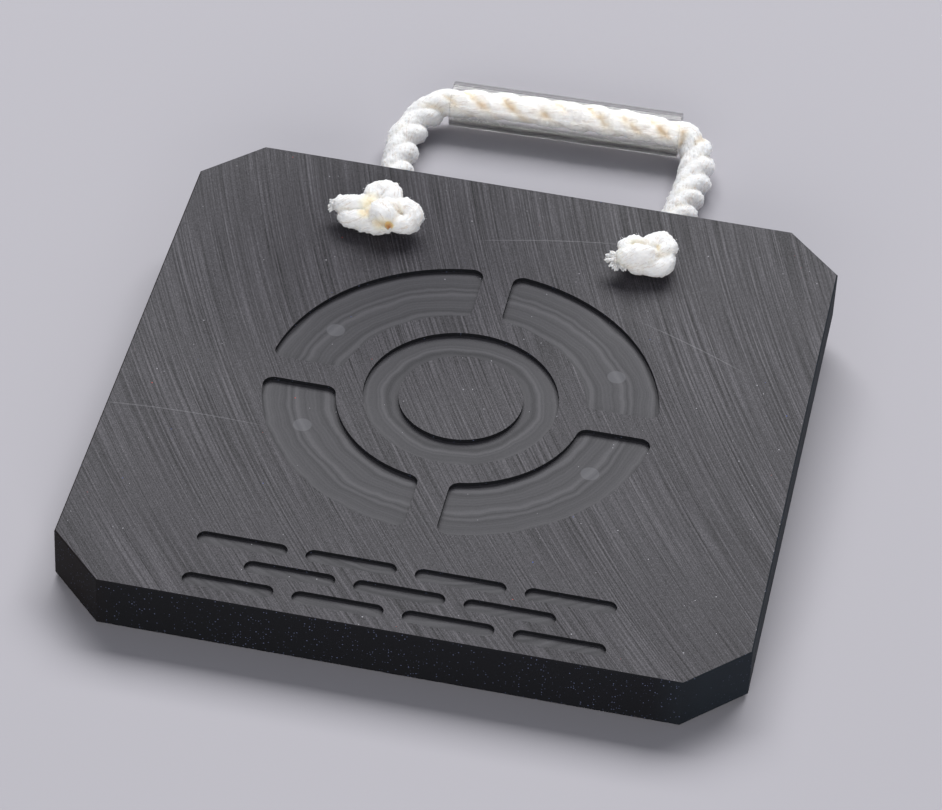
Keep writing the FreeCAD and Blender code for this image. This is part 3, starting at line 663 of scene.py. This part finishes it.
def bight(middle_x, points, thickness):
    """One strand through these places, with its thickness in millimetres given place by place."""
    line = line_of(on_pad(points, middle_x), 24)
    share = np.concatenate([[0.0], np.cumsum(np.linalg.norm(np.diff(line, axis=0), axis=1))])
    from_end = np.minimum(share, share[-1] - share)
    thick = np.interp(share / share[-1], np.linspace(0, 1, len(thickness)), np.array(thickness) / 1000)
    round_end = np.sqrt(np.clip(1 - np.clip(1 - from_end / (0.8 * thick), 0, 1) ** 2, 0.004, 1))
    return line, (thick * round_end).astype(np.float32)


def stopper_knot(name, middle_x, seed, bights):
    """A knot of these bights, each one given by its places and its thicknesses."""
    lines = [bight(middle_x, *given) for given in bights]
    return strands(name, lines, {"Yarns": 16, "Yarn height": 0.11, "Yarn lay": 0.06, "Step": 0.001},
                   {"Tufts": 0.0018, "Lumps": 0.0026, "Seed": seed})


left_knot = stopper_knot("left_stopper_knot", HOLES[0], 2.0, [
    ([(0, 0, -18), (0, 1, -4), (0, -2, 4), (0, -7, 8)], (6.6, 6.6, 6.4, 5.0)),
    ([(-6.5, 1, 4), (-5, 6, 4), (0, 8, 4), (5, 6, 4), (6.5, 1, 4)], (3.8, 4.0, 4.0, 4.0, 3.8)),
    ([(-9, -8, 4), (-1, -6.5, 6), (6, -6, 6.5), (14, -6, 5.5)], (5.0, 6.0, 6.2, 5.2)),
    ([(-2, -4, 5), (-3.8, 2, 8.5), (-3, 7, 9.6), (1.6, 9.4, 10), (6, 7, 10), (6.2, 1.5, 10),
        (3, -4, 9.5)], (4.4, 4.7, 4.8, 4.7, 4.4)),
    ([(4, -2, 7.5), (9, -2, 9.6), (14.5, -2.2, 10.4), (18.3, -5, 9.6), (18.3, -9.5, 8),
        (14, -12, 7.2), (7, -11.5, 8)], (4.2, 4.6, 4.8, 4.6, 4.2)),
    ([(1, -2, 7.5), (-6, -2.8, 9), (-12, -4.2, 9), (-17, -5.0, 8.4), (-20.6, -5.6, 7.8)],
        (4.4, 4.5, 4.5, 4.4, 4.2)),
    ([(-14.4, -7.2, 5.8), (-14.2, -10.4, 5.8), (-11, -12.0, 5.8), (-6, -11.4, 6.6),
        (-2, -9.2, 7.4)], (3.4, 4.2, 4.3, 4.4, 4.6)),
    ([(-9, -10, 4.4), (-5.5, -12, 4.6), (-1, -12.7, 4.6), (5, -12.3, 4.8), (9, -9.2, 4.8)],
        (3.4, 3.8, 3.9, 3.8, 3.5)),
    ([(-1, -6, 9.5), (2.4, -8.5, 10.8), (5, -11.2, 11.2), (6.4, -13.6, 10.2), (7, -15.2, 8.8)],
        (5.6, 6.4, 6.6, 6.2, 5.0)),
    ([(2, -3.5, 10.5), (6.5, -5.5, 11.4), (10.5, -7.2, 10)], (5.2, 5.6, 5.0)),
    ([(7, -15.4, 9.8), (8.2, -17, 9.4), (8.8, -18, 8.6)], (2.6, 1.5, 0.8)),
])
right_knot = stopper_knot("right_stopper_knot", HOLES[1], 3.0, [
    ([(0, 0, -18), (0, 1, -4), (0, -2, 4), (0, -6, 7)], (6.6, 6.6, 6.2, 4.6)),
    ([(-6.5, 0, 3.8), (-5, 4.6, 3.8), (0, 6.4, 3.8), (5, 4.6, 3.8), (6.5, 0, 3.8)],
        (3.8, 3.9, 3.9, 3.9, 3.8)),
    ([(-7, -6, 4.5), (-1, -5.5, 6.5), (4, -4, 6.5), (8, -4, 5.8)], (4.8, 5.6, 5.6, 4.6)),
    ([(0, -4.5, 6.5), (1.4, -0.5, 9), (3.0, 3.4, 9.2), (6.8, 4.6, 9.4), (10.2, 2.6, 9.2),
        (10.6, -2, 9), (6, -4.5, 9.2)], (4.0, 4.5, 4.8, 4.6, 4.2)),
    ([(6, -2.5, 6.5), (10.8, -3.8, 7.4), (11.6, -7.2, 7), (9.5, -10, 6.2), (5, -10.8, 5.7),
        (-1, -10.4, 5.7)], (3.8, 4.2, 4.4, 4.2, 3.8)),
    ([(2, -2, 7.2), (-3.5, -0.4, 8.8), (-7.2, -0.4, 9.2), (-9.2, -3, 8.8), (-8.5, -6, 8.6),
        (-4, -6.8, 9)], (4.2, 4.4, 4.4, 4.2, 4.2)),
    ([(-4, -0.5, 8), (-1, -1.2, 8.8), (2, -1.8, 8.4)], (4.2, 4.6, 4.4)),
    ([(5, -6, 9.5), (1, -8.6, 10.8), (-3, -9.8, 10.9), (-7.4, -10.6, 9.8), (-12.4, -11.2, 8.2)],
        (4.4, 5.0, 5.0, 4.7, 3.4)),
    ([(2, -10.8, 5.3), (-3, -11.6, 5.7), (-7, -11.2, 5.7)], (4.0, 4.1, 3.4)),
    ([(-8, -8.4, 8.8), (-11, -8.6, 9), (-13, -8.6, 8.8)], (2.4, 1.8, 0.8)),
    ([(-8, -10, 8.4), (-12, -11, 8.2), (-14, -11.6, 7.8)], (2.6, 1.8, 0.8)),
    ([(-8, -11, 7.6), (-10.6, -13, 7), (-12, -14.4, 6.4)], (2.4, 1.8, 0.8)),
    ([(-6, -11.4, 6.8), (-7.4, -13.4, 6.2), (-8, -14.6, 5.6)], (2.2, 1.6, 0.8)),
])


def scorched(knot, middle_x, marks):
    """Browned places: each mark is a place on the knot, its radius in millimetres and how far it has gone."""
    mesh = knot.data
    places = places_of(mesh)
    burn = np.zeros(len(places), np.float32)
    for place, radius, strength in marks:
        away = np.linalg.norm(places - np.array(on_pad([place], middle_x)[0], np.float32), axis=1) * 1000
        burn = np.maximum(burn, strength * np.clip(1 - away / radius, 0, 1) ** 0.8)
    mesh.attributes["scorch"].data.foreach_set("value", burn)


scorched(left_knot, HOLES[0], [((8.4, -17.2, 9.8), 2.8, 1.3), ((4.5, -16.0, 9.4), 5.5, 0.36),
    ((-4.5, -11.0, 12.0), 4.5, 0.42), ((-4.0, -3.5, 12.5), 6.5, 0.3)])
scorched(right_knot, HOLES[1], [((-11.0, -11.0, 9.0), 6.0, 0.2), ((-6.0, -3.0, 12.0), 5.0, 0.14),
    ((7.0, -2.5, 11.0), 2.5, 0.3)])


# The frayed ends: where the rope was cut, its soft spun yarns have come apart and stand out from both knots
# in pointed clumps. Nothing holds them but the knot.
loose_yarn = white_laid_yarn("white_frayed_yarn", 0.0006)


def frayed_end(name, middle_x, root, ends, seed):
    """Loose yarns that fan out from a root on a knot in clumps of six, one clump to each end."""
    pick = np.random.RandomState(seed)
    lines = []
    for end in ends:
        for _ in range(6):
            start = np.array(root) + pick.uniform(-2.0, 2.0, 3)
            stop = np.array(end) + pick.uniform(-0.9, 0.9, 3)
            half_way = (start + stop) / 2 + pick.uniform(-0.8, 0.8, 3) + (0, 0, 0.5)
            lines.append(bight(middle_x, [start, half_way, stop], (1.1, 0.95, 0.5)))
    made = plain_mesh(name, as_edges(name, lines), [("NODES", strand_maker, {
        "Yarns": 2, "Yarn height": 0.3, "Yarn lay": 0.004, "Step": 0.0006, "Finish": loose_yarn})])
    pressed(made)
    return placed(name, made)


left_fray = frayed_end("left_knot_fray", HOLES[0], (-18.6, -5.4, 7.6), [
    (-22.6, -4.6, 8.8), (-22.6, -6.6, 7.2), (-21.6, -8.2, 6.0)], 11)
right_fray = frayed_end("right_knot_fray", HOLES[1], (-11.0, -11.0, 8.0), [
    (-15.6, -9.0, 9.2), (-17.4, -11.0, 8.4), (-16.6, -13.6, 7.4), (-14.0, -16.0, 6.6),
    (-10.6, -16.8, 6.0), (-7.4, -16.0, 5.4), (-13.0, -14.0, 8.4)], 12)
knots = [left_knot, right_knot, left_fray, right_fray]
for knot in knots:
    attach(knot, "root")


# Stray fibres: ends of the spun yarn that handling has pulled out, so that they stand off the rope and its
# knots as a thin fuzz. The twist of the yarn holds them.
def fibre_tree():
    """Short bent fibres scattered over a surface, leaning every way."""
    tree = bpy.data.node_groups.new("stray_fibres", "GeometryNodeTree")
    face = tree.interface
    face.new_socket("Surface", in_out="INPUT", socket_type="NodeSocketGeometry")
    for name, value in (("Per square metre", 150000.0), ("Length", 0.0009), ("Radius", 0.00004)):
        face.new_socket(name, in_out="INPUT", socket_type="NodeSocketFloat").default_value = value
    face.new_socket("Seed", in_out="INPUT", socket_type="NodeSocketInt")
    face.new_socket("Finish", in_out="INPUT", socket_type="NodeSocketMaterial")
    face.new_socket("Fibres", in_out="OUTPUT", socket_type="NodeSocketGeometry")
    given = add(tree, "NodeGroupInput").outputs
    spots = add(tree, "GeometryNodeDistributePointsOnFaces", {"Mesh": given["Surface"],
        "Density": given["Per square metre"], "Seed": given["Seed"]})
    lean = calc(tree, "MULTIPLY", given["Length"], 0.3)
    tip = add(tree, "ShaderNodeCombineXYZ", {0: lean, 2: given["Length"]})
    rise = calc(tree, "MULTIPLY", given["Length"], 0.6)
    bend = add(tree, "ShaderNodeCombineXYZ", {2: rise})
    line = add(tree, "GeometryNodeCurveQuadraticBezier", {"Resolution": 3, "Start": (0, 0, 0),
        "Middle": bend, "End": tip})
    section = add(tree, "GeometryNodeCurvePrimitiveCircle", {"Resolution": 3, "Radius": given["Radius"]})
    fibre = add(tree, "GeometryNodeCurveToMesh", {"Curve": line, "Profile Curve": section.outputs["Curve"],
        "Fill Caps": True})
    astray = add(tree, "FunctionNodeRandomValue", {0: (-1.1, -1.1, -1.1), 1: (1.1, 1.1, 1.1),
        "Seed": given["Seed"]}, data_type="FLOAT_VECTOR")
    way = add(tree, "ShaderNodeVectorMath", {0: spots.outputs["Normal"], 1: astray.outputs[0]},
        operation="ADD")
    turn = add(tree, "FunctionNodeAlignRotationToVector", {"Vector": way}, axis="Z")
    long = add(tree, "FunctionNodeRandomValue", {2: 0.5, 3: 1.3, "Seed": given["Seed"]}, data_type="FLOAT")
    fuzz = add(tree, "GeometryNodeInstanceOnPoints", {"Points": spots.outputs["Points"], "Instance": fibre,
        "Rotation": turn, "Scale": long.outputs[1]})
    fuzz = add(tree, "GeometryNodeRealizeInstances", {"Geometry": fuzz})
    fuzz = add(tree, "GeometryNodeSetMaterial", {"Geometry": fuzz, "Material": given["Finish"]})
    add(tree, "NodeGroupOutput", {0: fuzz})
    return tree


fibre_maker = fibre_tree()
hosts = ((rope, "rope_fibres"), (left_knot, "left_knot_fibres"), (right_knot, "right_knot_fibres"))
for seed, (host, label) in enumerate(hosts):
    made = plain_mesh(label, host.data, [("NODES", fibre_maker, {"Seed": seed, "Finish": loose_yarn})])
    pressed(made)
    fibres = placed(label, made)
    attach(fibres, "root")


# The grip: a length of extruded clear vinyl tube, cut square and pushed on the rope before it was knotted. It
# lies on the floor and is loose on the rope, which shows through it.
def clear_vinyl(name, gloss):
    """Flexible clear PVC: nearly colourless, with painted shade: grey where the eye passes along its wall, at
    the edges. The outer skin is glossy from the die, the bore is dulled by the rope."""
    material = bpy.data.materials.new(name)
    material.use_nodes = True
    tree = material.node_tree
    shader = tree.nodes["Principled BSDF"]
    where = add(tree, "ShaderNodeTexCoord")
    ripple = add(tree, "ShaderNodeTexNoise", {"Vector": where.outputs["Object"], "Scale": 45.0,
        "Detail": 1.0})
    bump = add(tree, "ShaderNodeBump", {"Height": ripple.outputs[0], "Strength": 0.06, "Distance": 0.0004})
    tree.links.new(bump.outputs[0], shader.inputs["Normal"])
    # painted shade: the wall's colour turns grey where the eye passes along it, at the edges, for the darker
    # room that the edge-on wall shows there
    rim = add(tree, "ShaderNodeLayerWeight", {"Blend": 0.5})
    body = add(tree, "ShaderNodeMix", {0: rim.outputs["Facing"], 6: linear("#fbfbfa"),
        7: linear("#93938f")}, data_type="RGBA")
    tree.links.new(body.outputs[2], shader.inputs["Base Color"])
    shader.inputs["Roughness"].default_value = 0.03
    # bulk vinyl has 1.53, but so thin and scuffed a wall bends the light much less
    shader.inputs["IOR"].default_value = 1.15
    shader.inputs["Transmission Weight"].default_value = 1.0
    shader.inputs["Coat Weight"].default_value = gloss
    shader.inputs["Coat Roughness"].default_value = 0.08
    # light passes through to the rope, as it does through a thin clear wall, but less along the wall
    ray = add(tree, "ShaderNodeLightPath")
    shade = add(tree, "ShaderNodeMix", {0: rim.outputs["Facing"], 6: (0.76, 0.76, 0.75, 1.0),
        7: (0.05, 0.05, 0.05, 1.0)}, data_type="RGBA")
    # its lowest part blocks more of the lamps' light than the rest, only for the shadow it casts, which
    # deepens that shadow on the floor in front; to the eye it is as clear as the rest
    height = add(tree, "ShaderNodeSeparateXYZ", {0: where.outputs["Object"]})
    shadow_deepening = ranged(tree, height.outputs[2], 0.003, 0.009, 0.25, 1.0)
    shade = add(tree, "ShaderNodeVectorMath", {0: shade.outputs[2], "Scale": shadow_deepening}, operation="SCALE")
    through = add(tree, "ShaderNodeBsdfTransparent", {"Color": shade})
    either = add(tree, "ShaderNodeMixShader", {0: ray.outputs["Is Shadow Ray"], 1: shader.outputs[0],
        2: through})
    tree.links.new(either.outputs[0], tree.nodes["Material Output"].inputs["Surface"])
    return material


def tube_mesh(name, length, outer, inner, edge, sides):
    """A tube along X with lightly rounded ends."""
    half = length / 2
    # a ring 1 mm from each end keeps the long walls straight, so that they bend the light evenly
    right = [(half - edge - 0.001, outer), (half - edge, outer),
             (half - edge * 0.3, outer - edge * 0.3), (half, outer - edge),
             (half, inner + edge), (half - edge * 0.3, inner + edge * 0.3),
             (half - edge, inner), (half - edge - 0.001, inner)]
    profile = right + [(-x, r) for x, r in reversed(right)]
    points = [(x, r * math.cos(2 * math.pi * i / sides), r * math.sin(2 * math.pi * i / sides))
              for i in range(sides) for x, r in profile]
    n = len(profile)
    faces = [(i * n + j, ((i + 1) % sides) * n + j, ((i + 1) % sides) * n + (j + 1) % n, i * n + (j + 1) % n)
             for i in range(sides) for j in range(n)]
    mesh = bpy.data.meshes.new(name)
    mesh.from_pydata(points, [], faces)
    mesh.validate()
    return mesh


grip_mesh = tube_mesh("clear_grip", length=0.1143, outer=0.0111, inner=0.009525, edge=0.00025, sides=128)
# metres: faces nearer the axis than this are the bore and its rounded rims, and have the second finish
BORE_FACES = 0.0097
for polygon in grip_mesh.polygons:
    polygon.use_smooth = True
    polygon.material_index = int(math.hypot(polygon.center.y, polygon.center.z) < BORE_FACES)
grip_mesh.transform(Matrix.Translation(SLEEVE_MIDDLE) @ Matrix.Rotation(math.radians(SLEEVE_TURN), 4, "Z"))
grip = placed("clear_grip", grip_mesh)
grip_mesh.materials.append(clear_vinyl("clear_flexible_vinyl", 0.3))
grip_mesh.materials.append(clear_vinyl("clear_flexible_vinyl_bore", 0.0))
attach(grip, "root")
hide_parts("handle_sleeve")
